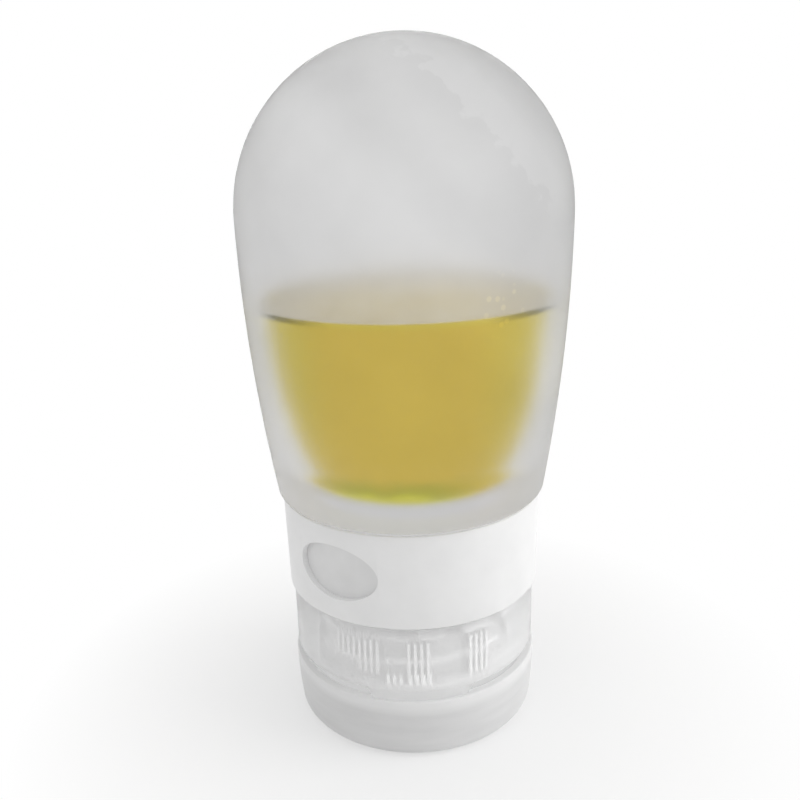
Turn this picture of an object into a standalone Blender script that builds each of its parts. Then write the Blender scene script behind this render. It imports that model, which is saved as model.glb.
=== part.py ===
"""Travel squeeze bottle standing upside down on its flip lid.

A soft silicone body with a full round end hangs its neck through a rigid threaded ring. A label dial turns
around that ring, and a two-walled cap with a slit valve and a hinged bowl lid screws onto it.
Sizes are in millimetres and the scene is in metres, +Z up. The lid's flat foot is centred on the origin,
the hinge is at +Y and the front is at -Y. Run it with: blender --background --python part.py
"""

import math

import bmesh
import bpy
from mathutils import Matrix

MM = 0.001

# Fits
GAP = 0.3  # between two pieces that seat on each other
RUNNING_CLEARANCE = 0.4  # between the cap and the ring that it screws past
DIAL_CLEARANCE = 0.2  # between the label dial and the ring that it turns on
PIN_CLEARANCE = 0.1  # around the hinge's stub pins
SIDES = 48  # facets of a large turned piece
SMALL_SIDES = 24  # facets of the valve, its retainer and the hinge barrel

# Silicone body
NECK_BORE_RADIUS = 11.8
NECK_WALL = 2.0
NECK_LIP_WIDTH = 1.6
NECK_LIP_HEIGHT = 1.2
BODY_RADIUS = 26.2
BODY_TAPER_HEIGHT = 44.9
BODY_TAPER_POWER = 1.9
BODY_DOME_HEIGHT = 26.2
BODY_OVERHANG = 0.6  # how far the body bulges past the collar under it
BODY_EDGE_HEIGHT = 1.2
BODY_WALL = 2.0
BODY_SHOULDER_THICKENING = 4.6  # what the wall gains from the widest place down to the shoulder
BODY_THICKENING_POWER = 5
BODY_FLOOR = 2.2
BODY_FLOOR_FILLET = 4.0

# Threaded ring on the neck
NECK_RING_WALL = 1.6
THREAD_SPACE = 1.3  # left between the ring and the cap's sleeve for both threads
INDEX_FLANGE_HEIGHT = 2.7
INDEX_FLANGE_PLATE = 1.2
INDEX_RIM_WALL = 1.2
INDEX_NOTCHES = 16
TOP_FLANGE_THICKNESS = 1.4

# Label dial
LABEL_RING_WALL = 1.4
LABEL_RING_STEP = 1.1  # how far the label ring stands out past the toothed flange
LABEL_RIM_THICKNESS = 1.1
COLLAR_HEIGHT = 15.8
COLLAR_WALL = 0.9
COLLAR_DRAFT = 0.3  # how much wider the collar is at its top
COLLAR_LIP_THICKNESS = 0.8
COLLAR_LIP_OVERLAP = 0.6  # how far the collar's lip hooks in past the label ring
COLLAR_EDGE = 0.25
WINDOW_WIDTH = 15.0
WINDOW_HEIGHT = 9.2
WINDOW_RISE = 8.2  # from the collar's lower edge to the window's centre
WINDOW_DIRECTION = -35.0  # degrees from the front, towards +X

# Cap
DECK_THICKNESS = 1.5
SLEEVE_HEIGHT = 8.5
SLEEVE_WALL = 1.2
RIB_HEIGHT = 1.0
RIB_WIDTH = 0.45
RIB_PITCH = 2.8  # degrees between the ribs of a group
RIBS_PER_GROUP = 4
RIB_PLACES = 12
RIB_DIRECTION = 1.5  # degrees from the front to the first group's middle
RIB_TWIN_OFFSET = 6.0  # degrees from a place to each half of a twin group
RIB_TWIN_EVERY = 3
SHELL_WALL = 1.2
SHELL_LIP_THICKNESS = 0.8
SHELL_EDGE = 0.25
GROOVE_HEIGHT = 1.7  # open finger groove between the shell and the lid
GROOVE_DEPTH = 1.4
TONGUE_DIRECTION = 2.0
TONGUE_TOP_WIDTH = 17.6
TONGUE_BOTTOM_WIDTH = 15.4
REGISTER_DEPTH = 1.8  # how far the cap reaches into the lid
REGISTER_WALL = 1.6
NOZZLE_BASE_RADIUS = 8.5
NOZZLE_TIP_RADIUS = 3.3
NOZZLE_HEIGHT = 5.0
ORIFICE_RADIUS = 1.8
ORIFICE_LENGTH = 1.6
SEAL_THICKNESS = 1.2

# Slit valve and its retainer
VALVE_OPENING_RADIUS = 5.0
VALVE_SEAT_WIDTH = 2.0
VALVE_FLANGE_THICKNESS = 1.2
VALVE_MEMBRANE = 0.7
VALVE_RISE = 1.3
VALVE_SLIT_LENGTH = 4.4
VALVE_SLIT_WIDTH = 0.25
VALVE_BOSS_WALL = 1.2
VALVE_BOSS_OVER_FLANGE = 0.6
RETAINER_TOP = 0.8

# Flip lid and its hinge
LID_HEIGHT = 10.7
LID_WALL = 1.4
LID_TAPER = 0.5  # how much narrower the lid is at its foot
LID_FLOOR = 1.6
LID_CORNER = 2.0
LID_RIM_CHAMFER = 0.45
LID_PLUG_TIP_RADIUS = 1.0
LID_PLUG_BASE_RADIUS = 1.5
LID_PLUG_ENGAGEMENT = 1.5  # how far the plug reaches into the orifice
HINGE_BARREL_RADIUS = 1.5
HINGE_PIN_RADIUS = 0.9
HINGE_KNUCKLE_WIDTH = 6.2
HINGE_EAR_WIDTH = 2.2
HINGE_AXIS_INSET = 0.7  # from the lid's outer face in to the hinge axis
HINGE_AXIS_RISE = 0.8  # from the lid's rim up to the hinge axis
HINGE_SWING_ROOM = 2.5  # clear distance around the axis, for the lid to swing past the shell

# Radii that follow, from the bore outwards
NECK_RADIUS = NECK_BORE_RADIUS + NECK_WALL
NECK_LIP_RADIUS = NECK_RADIUS + NECK_LIP_WIDTH
NECK_RING_BORE = NECK_RADIUS + GAP
NECK_RING_RADIUS = NECK_RING_BORE + NECK_RING_WALL
SLEEVE_BORE = NECK_RING_RADIUS + THREAD_SPACE
SLEEVE_RADIUS = SLEEVE_BORE + SLEEVE_WALL
RIB_RADIUS = SLEEVE_RADIUS + RIB_HEIGHT
SHELL_BORE = RIB_RADIUS + GAP
SHELL_RADIUS = SHELL_BORE + SHELL_WALL
INDEX_FLANGE_RADIUS = SHELL_BORE - RUNNING_CLEARANCE
LABEL_RING_RADIUS = INDEX_FLANGE_RADIUS + LABEL_RING_STEP
LABEL_RING_BORE = LABEL_RING_RADIUS - LABEL_RING_WALL
COLLAR_BORE = LABEL_RING_RADIUS + DIAL_CLEARANCE
COLLAR_RADIUS = COLLAR_BORE + COLLAR_WALL
COLLAR_TOP_RADIUS = COLLAR_RADIUS + COLLAR_DRAFT
COLLAR_LIP_BORE = LABEL_RING_BORE - COLLAR_LIP_OVERLAP
TOP_FLANGE_RADIUS = LABEL_RING_BORE - GAP
REGISTER_RADIUS = SHELL_RADIUS - GROOVE_DEPTH
LID_BORE = REGISTER_RADIUS + GAP
LID_RADIUS = LID_BORE + LID_WALL
VALVE_RADIUS = VALVE_OPENING_RADIUS + VALVE_SEAT_WIDTH
VALVE_BOSS_BORE = VALVE_RADIUS + GAP
VALVE_BOSS_RADIUS = VALVE_BOSS_BORE + VALVE_BOSS_WALL

# Heights that follow, from the foot upwards
SHELL_BOTTOM = LID_HEIGHT + GROOVE_HEIGHT
DECK_TOP = SHELL_BOTTOM - GAP
DECK_BOTTOM = DECK_TOP - DECK_THICKNESS
REGISTER_BOTTOM = LID_HEIGHT - REGISTER_DEPTH
NOZZLE_TIP = DECK_BOTTOM - NOZZLE_HEIGHT
SEAL_BOTTOM = DECK_TOP + GAP
SEAL_TOP = SEAL_BOTTOM + SEAL_THICKNESS
NECK_BOTTOM = SEAL_TOP + GAP
NECK_LIP_TOP = NECK_BOTTOM + NECK_LIP_HEIGHT
NECK_RING_BOTTOM = NECK_LIP_TOP + GAP
SLEEVE_TOP = DECK_TOP + SLEEVE_HEIGHT
INDEX_FLANGE_BOTTOM = SLEEVE_TOP + GAP
INDEX_FLANGE_TOP = INDEX_FLANGE_BOTTOM + INDEX_FLANGE_HEIGHT
SHELL_TOP = INDEX_FLANGE_TOP
COLLAR_BOTTOM = INDEX_FLANGE_TOP + GAP
COLLAR_TOP = COLLAR_BOTTOM + COLLAR_HEIGHT
LABEL_RING_BOTTOM = COLLAR_BOTTOM + COLLAR_LIP_THICKNESS + GAP
LABEL_RIM_BOTTOM = COLLAR_TOP - LABEL_RIM_THICKNESS
NECK_RING_TOP = LABEL_RIM_BOTTOM - GAP
BODY_BOTTOM = COLLAR_TOP + GAP
BODY_WIDEST = BODY_BOTTOM + BODY_TAPER_HEIGHT
CAVITY_FLOOR = BODY_BOTTOM + BODY_FLOOR
VALVE_BOTTOM = DECK_TOP + GAP
VALVE_TOP = VALVE_BOTTOM + VALVE_FLANGE_THICKNESS
VALVE_BOSS_TOP = VALVE_TOP + VALVE_BOSS_OVER_FLANGE
RETAINER_BOTTOM = VALVE_TOP + GAP
RETAINER_FLANGE_BOTTOM = VALVE_BOSS_TOP + GAP
HINGE_Y = LID_RADIUS - HINGE_AXIS_INSET
HINGE_Z = LID_HEIGHT + HINGE_AXIS_RISE
HINGE_EAR_INNER = HINGE_KNUCKLE_WIDTH / 2 + GAP
HINGE_EAR_OUTER = HINGE_EAR_INNER + HINGE_EAR_WIDTH


# Shared modelling steps


def clear_scene():
    for obj in list(bpy.data.objects):
        bpy.data.objects.remove(obj)


def new_collection(name):
    collection = bpy.data.collections.new(name)
    bpy.context.scene.collection.children.link(collection)
    return collection


def arc(centre_r, centre_z, radius_r, radius_z, start, end, steps):
    """Points of an elliptic arc in the (radius, height) plane, angles in degrees from outward, upwards."""
    points = []
    for step in range(steps + 1):
        angle = math.radians(start + (end - start) * step / steps)
        points.append((centre_r + radius_r * math.cos(angle), centre_z + radius_z * math.sin(angle)))
    return points


def turned(name, profile, collection, sides=SIDES, closed=True):
    """A solid turned about Z from (radius, height) points that run down the outer side."""
    mesh = bpy.data.meshes.new(name)
    points = [(radius * MM, 0, height * MM) for radius, height in profile]
    edges = [(i, i + 1) for i in range(len(points) - 1)]
    if closed:
        edges.append((len(points) - 1, 0))
    mesh.from_pydata(points, edges, [])
    obj = bpy.data.objects.new(name, mesh)
    collection.objects.link(obj)
    screw = obj.modifiers.new("turn", "SCREW")
    screw.axis = "Z"
    screw.angle = 2 * math.pi
    screw.steps = sides
    screw.render_steps = sides
    screw.use_merge_vertices = True
    screw.merge_threshold = 1e-6
    return obj


def from_bmesh(name, bm, collection):
    mesh = bpy.data.meshes.new(name)
    bm.to_mesh(mesh)
    bm.free()
    obj = bpy.data.objects.new(name, mesh)
    collection.objects.link(obj)
    return obj


def add_box(bm, low, high, turn=0.0):
    """Adds a box between two corners in millimetres, then turns it about Z by degrees."""
    size = [(b - a) * MM for a, b in zip(low, high)]
    middle = [(a + b) / 2 * MM for a, b in zip(low, high)]
    place = Matrix.Rotation(math.radians(turn), 4, "Z") @ Matrix.Translation(middle)
    bmesh.ops.create_cube(bm, size=1.0, matrix=place @ Matrix.Diagonal([*size, 1.0]))


def add_barrel(bm, radius, from_x, to_x):
    """Adds a cylinder along X on the hinge axis."""
    place = Matrix.Translation(((from_x + to_x) / 2 * MM, HINGE_Y * MM, HINGE_Z * MM))
    bmesh.ops.create_cone(
        bm,
        cap_ends=True,
        segments=SMALL_SIDES,
        radius1=radius * MM,
        radius2=radius * MM,
        depth=(to_x - from_x) * MM,
        matrix=place @ Matrix.Rotation(math.pi / 2, 4, "Y"),
    )


def as_tool(obj):
    """Marks a shape that only cuts or joins another one."""
    obj.hide_render = True
    obj.display_type = "WIRE"
    return obj


def boolean(obj, tool, operation):
    modifier = obj.modifiers.new(tool.name, "BOOLEAN")
    modifier.operation = operation
    modifier.object = tool
    return obj


def finished(obj, material, sharp_angle=32.0):
    """Keeps the evaluated shape as the mesh, smooth across its facets and crisp at its edges."""
    graph = bpy.context.evaluated_depsgraph_get()
    mesh = bpy.data.meshes.new_from_object(obj.evaluated_get(graph))
    obj.modifiers.clear()
    obj.data = mesh
    mesh.name = obj.name
    mesh.shade_smooth()
    mesh.set_sharp_from_angle(angle=math.radians(sharp_angle))
    mesh.materials.clear()
    mesh.materials.append(material)
    return obj


def plastic(name, colour, roughness, transmission=0.0, ior=1.5):
    material = bpy.data.materials.new(name)
    material.use_nodes = True
    shader = material.node_tree.nodes["Principled BSDF"]
    shader.inputs["Base Color"].default_value = (*colour, 1.0)
    shader.inputs["Roughness"].default_value = roughness
    shader.inputs["Metallic"].default_value = 0.0
    shader.inputs["Transmission Weight"].default_value = transmission
    shader.inputs["IOR"].default_value = ior
    material.diffuse_color = (*colour, 1.0)
    return material


# The bottle's pieces


def body_radius(drop):
    """Outer radius below the widest place, where drop runs from 0 there to 1 at the shoulder."""
    shoulder = COLLAR_TOP_RADIUS + BODY_OVERHANG
    return BODY_RADIUS - (BODY_RADIUS - shoulder) * drop**BODY_TAPER_POWER


def body_wall(drop):
    return BODY_WALL + BODY_SHOULDER_THICKENING * drop**BODY_THICKENING_POWER


def squeeze_body(parts, material):
    taper_steps = 8
    dome_steps = 9
    cavity_steps = 6
    outside = arc(0, BODY_WIDEST, BODY_RADIUS, BODY_DOME_HEIGHT, 90, 0, dome_steps)
    edge_start = 1 - BODY_EDGE_HEIGHT / BODY_TAPER_HEIGHT
    for step in range(1, taper_steps + 1):
        drop = edge_start * step / taper_steps
        outside.append((body_radius(drop), BODY_WIDEST - drop * BODY_TAPER_HEIGHT))
    edge_radius = body_radius(edge_start)
    edge_width = edge_radius - COLLAR_TOP_RADIUS + COLLAR_EDGE
    outside += arc(
        edge_radius - edge_width, BODY_BOTTOM + BODY_EDGE_HEIGHT, edge_width, BODY_EDGE_HEIGHT, 0, -90, 4
    )[1:]
    neck = [
        (NECK_RADIUS, BODY_BOTTOM),
        (NECK_RADIUS, NECK_LIP_TOP),
        (NECK_LIP_RADIUS, NECK_LIP_TOP),
        (NECK_LIP_RADIUS, NECK_BOTTOM),
        (NECK_BORE_RADIUS, NECK_BOTTOM),
        (NECK_BORE_RADIUS, CAVITY_FLOOR - BODY_FLOOR / 2),
        (NECK_BORE_RADIUS + BODY_FLOOR / 2, CAVITY_FLOOR),
    ]
    inside = []
    fillet_start = 1 - (BODY_FLOOR + BODY_FLOOR_FILLET) / BODY_TAPER_HEIGHT
    for step in range(cavity_steps + 1):
        drop = fillet_start * (1 - step / cavity_steps)
        inside.append((body_radius(drop) - body_wall(drop), BODY_WIDEST - drop * BODY_TAPER_HEIGHT))
    fillet_radius = inside[0][0]
    inside = (
        arc(
            fillet_radius - BODY_FLOOR_FILLET,
            CAVITY_FLOOR + BODY_FLOOR_FILLET,
            BODY_FLOOR_FILLET,
            BODY_FLOOR_FILLET,
            -90,
            0,
            3,
        )[:-1]
        + inside
    )
    inside += arc(
        0, BODY_WIDEST, BODY_RADIUS - BODY_WALL, BODY_DOME_HEIGHT - BODY_WALL, 0, 90, cavity_steps
    )[1:]
    body = turned("squeeze_body", outside + neck + inside, parts, closed=False)
    return finished(body, material)


def neck_ring(parts, tools, material):
    profile = [
        (TOP_FLANGE_RADIUS, NECK_RING_TOP),
        (TOP_FLANGE_RADIUS, NECK_RING_TOP - TOP_FLANGE_THICKNESS),
        (NECK_RING_RADIUS, NECK_RING_TOP - TOP_FLANGE_THICKNESS),
        (NECK_RING_RADIUS, INDEX_FLANGE_TOP),
        (INDEX_FLANGE_RADIUS, INDEX_FLANGE_TOP),
        (INDEX_FLANGE_RADIUS, INDEX_FLANGE_BOTTOM),
        (INDEX_FLANGE_RADIUS - INDEX_RIM_WALL, INDEX_FLANGE_BOTTOM),
        (INDEX_FLANGE_RADIUS - INDEX_RIM_WALL, INDEX_FLANGE_TOP - INDEX_FLANGE_PLATE),
        (NECK_RING_RADIUS, INDEX_FLANGE_TOP - INDEX_FLANGE_PLATE),
        (NECK_RING_RADIUS, NECK_RING_BOTTOM),
        (NECK_RING_BORE, NECK_RING_BOTTOM),
        (NECK_RING_BORE, NECK_RING_TOP),
    ]
    ring = turned("neck_ring", profile, parts)
    notch_width = math.pi * INDEX_FLANGE_RADIUS / INDEX_NOTCHES
    notches = bmesh.new()
    for index in range(INDEX_NOTCHES):
        add_box(
            notches,
            (INDEX_FLANGE_RADIUS - INDEX_RIM_WALL - GAP, -notch_width / 2, INDEX_FLANGE_BOTTOM - GAP),
            (INDEX_FLANGE_RADIUS + GAP, notch_width / 2, INDEX_FLANGE_TOP - INDEX_FLANGE_PLATE),
            turn=360 / INDEX_NOTCHES * (index + 0.5),
        )
    boolean(ring, as_tool(from_bmesh("index_notches", notches, tools)), "DIFFERENCE")
    return finished(ring, material)


def label_ring(parts, material):
    profile = [
        (LABEL_RING_RADIUS, COLLAR_TOP),
        (LABEL_RING_RADIUS, LABEL_RING_BOTTOM),
        (LABEL_RING_BORE, LABEL_RING_BOTTOM),
        (LABEL_RING_BORE, LABEL_RIM_BOTTOM),
        (NECK_RING_BORE, LABEL_RIM_BOTTOM),
        (NECK_RING_BORE, COLLAR_TOP),
    ]
    return finished(turned("label_ring", profile, parts), material)


def label_collar(parts, tools, material):
    profile = [
        (COLLAR_TOP_RADIUS - COLLAR_EDGE, COLLAR_TOP),
        (COLLAR_TOP_RADIUS, COLLAR_TOP - COLLAR_EDGE),
        (COLLAR_RADIUS, COLLAR_BOTTOM + COLLAR_EDGE),
        (COLLAR_RADIUS - COLLAR_EDGE, COLLAR_BOTTOM),
        (COLLAR_LIP_BORE, COLLAR_BOTTOM),
        (COLLAR_LIP_BORE, COLLAR_BOTTOM + COLLAR_LIP_THICKNESS),
        (COLLAR_BORE, COLLAR_BOTTOM + COLLAR_LIP_THICKNESS),
        (COLLAR_BORE, COLLAR_TOP),
    ]
    collar = turned("label_collar", profile, parts)
    window = bmesh.new()
    place = (
        Matrix.Rotation(math.radians(WINDOW_DIRECTION), 4, "Z")
        @ Matrix.Translation((0, -COLLAR_RADIUS * MM, (COLLAR_BOTTOM + WINDOW_RISE) * MM))
        @ Matrix.Rotation(math.pi / 2, 4, "X")
        @ Matrix.Diagonal((WINDOW_WIDTH / 2 * MM, WINDOW_HEIGHT / 2 * MM, COLLAR_RADIUS * MM, 1.0))
    )
    bmesh.ops.create_cone(
        window, cap_ends=True, segments=SMALL_SIDES, radius1=1.0, radius2=1.0, depth=1.0, matrix=place
    )
    boolean(collar, as_tool(from_bmesh("window_cut", window, tools)), "DIFFERENCE")
    return finished(collar, material)


def seal_washer(parts, material):
    bore = VALVE_BOSS_RADIUS + GAP
    profile = [
        (NECK_LIP_RADIUS, SEAL_TOP),
        (NECK_LIP_RADIUS, SEAL_BOTTOM),
        (bore, SEAL_BOTTOM),
        (bore, SEAL_TOP),
    ]
    return finished(turned("seal_washer", profile, parts), material)


def rib_directions():
    """The direction of each rib around the sleeve, in degrees from the front."""
    directions = []
    first = -(RIBS_PER_GROUP - 1) / 2 * RIB_PITCH
    for place in range(RIB_PLACES):
        middle = RIB_DIRECTION + 360 / RIB_PLACES * place
        twin = place % RIB_TWIN_EVERY == RIB_TWIN_EVERY - 1
        for offset in (-RIB_TWIN_OFFSET, RIB_TWIN_OFFSET) if twin else (0.0,):
            directions += [middle + offset + first + RIB_PITCH * rib for rib in range(RIBS_PER_GROUP)]
    return directions


def cap_core(parts, tools, material):
    nozzle_outside = arc(
        NOZZLE_BASE_RADIUS,
        DECK_BOTTOM - NOZZLE_HEIGHT,
        NOZZLE_TIP_RADIUS - NOZZLE_BASE_RADIUS,
        NOZZLE_HEIGHT,
        90,
        0,
        5,
    )
    nozzle_inside = arc(
        VALVE_OPENING_RADIUS,
        NOZZLE_TIP + ORIFICE_LENGTH,
        ORIFICE_RADIUS - VALVE_OPENING_RADIUS,
        DECK_TOP - GAP - NOZZLE_TIP - ORIFICE_LENGTH,
        0,
        90,
        4,
    )
    profile = [
        (SLEEVE_RADIUS, SLEEVE_TOP),
        (SLEEVE_RADIUS, DECK_TOP),
        (REGISTER_RADIUS, DECK_TOP),
        (REGISTER_RADIUS, REGISTER_BOTTOM),
        (REGISTER_RADIUS - REGISTER_WALL, REGISTER_BOTTOM),
        (REGISTER_RADIUS - REGISTER_WALL, DECK_BOTTOM),
        *nozzle_outside,
        (ORIFICE_RADIUS, NOZZLE_TIP),
        *nozzle_inside,
        (VALVE_OPENING_RADIUS, DECK_TOP),
        (VALVE_BOSS_BORE, DECK_TOP),
        (VALVE_BOSS_BORE, VALVE_BOSS_TOP),
        (VALVE_BOSS_RADIUS, VALVE_BOSS_TOP),
        (VALVE_BOSS_RADIUS, DECK_TOP),
        (SLEEVE_BORE, DECK_TOP),
        (SLEEVE_BORE, SLEEVE_TOP),
    ]
    core = turned("cap_core", profile, parts)

    knuckle_room = bmesh.new()
    add_box(
        knuckle_room,
        (-HINGE_EAR_INNER, HINGE_Y - HINGE_BARREL_RADIUS - GAP, REGISTER_BOTTOM - GAP),
        (HINGE_EAR_INNER, LID_RADIUS, DECK_TOP + GAP),
    )
    boolean(core, as_tool(from_bmesh("knuckle_room", knuckle_room, tools)), "DIFFERENCE")

    rib_foot = SHELL_BOTTOM + SHELL_LIP_THICKNESS + GAP
    ribs = bmesh.new()
    for direction in rib_directions():
        add_box(
            ribs,
            (-RIB_WIDTH / 2, -RIB_RADIUS, rib_foot),
            (RIB_WIDTH / 2, -SLEEVE_RADIUS + SLEEVE_WALL / 2, SLEEVE_TOP - GAP),
            turn=direction,
        )
    boolean(core, as_tool(from_bmesh("sleeve_ribs", ribs, tools)), "UNION")

    ear_ends = bmesh.new()
    ear_roots = bmesh.new()
    for low_x, high_x in ((-HINGE_EAR_OUTER, -HINGE_EAR_INNER), (HINGE_EAR_INNER, HINGE_EAR_OUTER)):
        add_barrel(ear_ends, HINGE_BARREL_RADIUS, low_x, high_x)
        add_box(
            ear_roots,
            (low_x, REGISTER_RADIUS - REGISTER_WALL, HINGE_Z - HINGE_BARREL_RADIUS),
            (high_x, HINGE_Y, HINGE_Z + HINGE_BARREL_RADIUS),
        )
    boolean(core, as_tool(from_bmesh("hinge_ears", ear_ends, tools)), "UNION")
    boolean(core, as_tool(from_bmesh("ear_roots", ear_roots, tools)), "UNION")
    bores = bmesh.new()
    add_barrel(bores, HINGE_PIN_RADIUS + PIN_CLEARANCE, -HINGE_EAR_OUTER - GAP, HINGE_EAR_OUTER + GAP)
    boolean(core, as_tool(from_bmesh("pin_bores", bores, tools)), "DIFFERENCE")
    return finished(core, material)


def cap_shell(parts, tools, material):
    profile = [
        (SHELL_RADIUS - SHELL_EDGE, SHELL_TOP),
        (SHELL_RADIUS, SHELL_TOP - SHELL_EDGE),
        (SHELL_RADIUS, SHELL_BOTTOM + SHELL_EDGE),
        (SHELL_RADIUS - SHELL_EDGE, SHELL_BOTTOM),
        (SLEEVE_RADIUS + GAP, SHELL_BOTTOM),
        (SLEEVE_RADIUS + GAP, SHELL_BOTTOM + SHELL_LIP_THICKNESS),
        (SHELL_BORE, SHELL_BOTTOM + SHELL_LIP_THICKNESS),
        (SHELL_BORE, SHELL_TOP),
    ]
    shell = turned("cap_shell", profile, parts)

    tongue_bottom = LID_HEIGHT + GAP
    tongue_top = SHELL_BOTTOM + 2 * SHELL_EDGE
    tongue = turned(
        "front_tongue",
        [
            (SHELL_RADIUS, tongue_top),
            (SHELL_RADIUS, tongue_bottom),
            (REGISTER_RADIUS + GAP, tongue_bottom),
            (REGISTER_RADIUS + GAP, tongue_top),
        ],
        tools,
    )
    outline = bmesh.new()
    add_box(
        outline,
        (-TONGUE_TOP_WIDTH / 2, -SHELL_RADIUS - GAP, tongue_bottom - GAP),
        (TONGUE_TOP_WIDTH / 2, -SHELL_RADIUS / 2, tongue_top + GAP),
    )
    for vertex in outline.verts:
        if vertex.co.z < SHELL_BOTTOM * MM:
            vertex.co.x *= TONGUE_BOTTOM_WIDTH / TONGUE_TOP_WIDTH
    outline.transform(Matrix.Rotation(math.radians(TONGUE_DIRECTION), 4, "Z"))
    boolean(as_tool(tongue), as_tool(from_bmesh("tongue_outline", outline, tools)), "INTERSECT")
    boolean(shell, tongue, "UNION")

    hinge_room = bmesh.new()
    add_box(
        hinge_room,
        (-HINGE_EAR_OUTER - 2 * GAP, SLEEVE_BORE, SHELL_BOTTOM - GAP),
        (HINGE_EAR_OUTER + 2 * GAP, SHELL_RADIUS + GAP, HINGE_Z + HINGE_SWING_ROOM),
    )
    boolean(shell, as_tool(from_bmesh("hinge_room", hinge_room, tools)), "DIFFERENCE")
    return finished(shell, material)


def drip_valve(parts, tools, material):
    neck_r = VALVE_OPENING_RADIUS - 2 * GAP
    membrane_top = arc(0, VALVE_TOP, neck_r, VALVE_RISE, 90, 0, 5)
    membrane_bottom = arc(
        0, VALVE_TOP, neck_r - VALVE_MEMBRANE, VALVE_RISE - VALVE_MEMBRANE, 0, 90, 5
    )
    profile = [
        *membrane_top,
        (VALVE_RADIUS, VALVE_TOP),
        (VALVE_RADIUS, VALVE_BOTTOM),
        (neck_r - VALVE_MEMBRANE, VALVE_BOTTOM),
        *membrane_bottom,
    ]
    valve = turned("drip_valve", profile, parts, sides=SMALL_SIDES, closed=False)
    for turn in (45, 135):
        slit = bmesh.new()
        add_box(
            slit,
            (-VALVE_SLIT_LENGTH / 2, -VALVE_SLIT_WIDTH / 2, VALVE_TOP),
            (VALVE_SLIT_LENGTH / 2, VALVE_SLIT_WIDTH / 2, VALVE_TOP + 2 * VALVE_RISE),
            turn=turn,
        )
        boolean(valve, as_tool(from_bmesh(f"valve_slit_{turn}", slit, tools)), "DIFFERENCE")
    return finished(valve, material)


def valve_retainer(parts, material):
    retainer_top = RETAINER_FLANGE_BOTTOM + RETAINER_TOP
    profile = [
        (VALVE_BOSS_RADIUS, retainer_top),
        (VALVE_BOSS_RADIUS, RETAINER_FLANGE_BOTTOM),
        (VALVE_RADIUS, RETAINER_FLANGE_BOTTOM),
        (VALVE_RADIUS, RETAINER_BOTTOM),
        (VALVE_OPENING_RADIUS, RETAINER_BOTTOM),
        (VALVE_OPENING_RADIUS, retainer_top),
    ]
    return finished(turned("valve_retainer", profile, parts, sides=SMALL_SIDES), material)


def flip_lid(parts, tools, material):
    plug_top = NOZZLE_TIP + LID_PLUG_ENGAGEMENT
    wall_steps = 3
    taper_height = LID_HEIGHT - LID_RIM_CHAMFER - LID_CORNER
    outside = []
    for step in range(wall_steps + 1):
        drop = step / wall_steps
        outside.append((LID_RADIUS - LID_TAPER * drop**2, LID_CORNER + taper_height * (1 - drop)))
    foot_radius = LID_RADIUS - LID_TAPER - LID_CORNER
    inner_corner = LID_CORNER - LID_WALL / 2
    inner_foot = LID_BORE - LID_TAPER - inner_corner
    profile = [
        (0, plug_top),
        (LID_PLUG_TIP_RADIUS, plug_top),
        (LID_PLUG_BASE_RADIUS, NOZZLE_TIP),
        (LID_PLUG_BASE_RADIUS, LID_FLOOR),
        *arc(inner_foot, LID_FLOOR + inner_corner, inner_corner, inner_corner, -90, 0, 3),
        (LID_BORE, REGISTER_BOTTOM - GAP),
        (LID_BORE, LID_HEIGHT),
        (LID_RADIUS - LID_RIM_CHAMFER, LID_HEIGHT),
        *outside,
        *arc(foot_radius, LID_CORNER, LID_CORNER, LID_CORNER, 0, -90, 4)[1:],
        (0, 0),
    ]
    lid = turned("flip_lid", profile, parts, closed=False)

    ear_room = bmesh.new()
    add_box(
        ear_room,
        (-HINGE_EAR_OUTER - GAP, SLEEVE_BORE, HINGE_Z - HINGE_SWING_ROOM),
        (HINGE_EAR_OUTER + GAP, LID_RADIUS + GAP, LID_HEIGHT + GAP),
    )
    boolean(lid, as_tool(from_bmesh("ear_room", ear_room, tools)), "DIFFERENCE")
    half_knuckle = HINGE_KNUCKLE_WIDTH / 2
    arm = bmesh.new()
    add_box(
        arm,
        (-half_knuckle, LID_BORE - GAP, HINGE_Z - HINGE_SWING_ROOM - LID_WALL),
        (half_knuckle, LID_RADIUS - GAP / 2, HINGE_Z),
    )
    boolean(lid, as_tool(from_bmesh("knuckle_arm", arm, tools)), "UNION")
    knuckle = bmesh.new()
    add_barrel(knuckle, HINGE_BARREL_RADIUS, -half_knuckle, half_knuckle)
    boolean(lid, as_tool(from_bmesh("knuckle", knuckle, tools)), "UNION")
    pins = bmesh.new()
    add_barrel(pins, HINGE_PIN_RADIUS, -HINGE_EAR_OUTER + GAP, HINGE_EAR_OUTER - GAP)
    boolean(lid, as_tool(from_bmesh("stub_pins", pins, tools)), "UNION")
    return finished(lid, material)


def axis_empty(name, y, z, collection):
    """An empty on a joint's axis, for the pieces that turn about it."""
    empty = bpy.data.objects.new(name, None)
    empty.location = (0, y * MM, z * MM)
    empty.empty_display_size = 5 * MM
    collection.objects.link(empty)
    return empty


def carry(parent, *children):
    """Parents the children without moving them."""
    bpy.context.view_layer.update()
    for child in children:
        child.parent = parent
        child.matrix_parent_inverse = parent.matrix_world.inverted()


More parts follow.
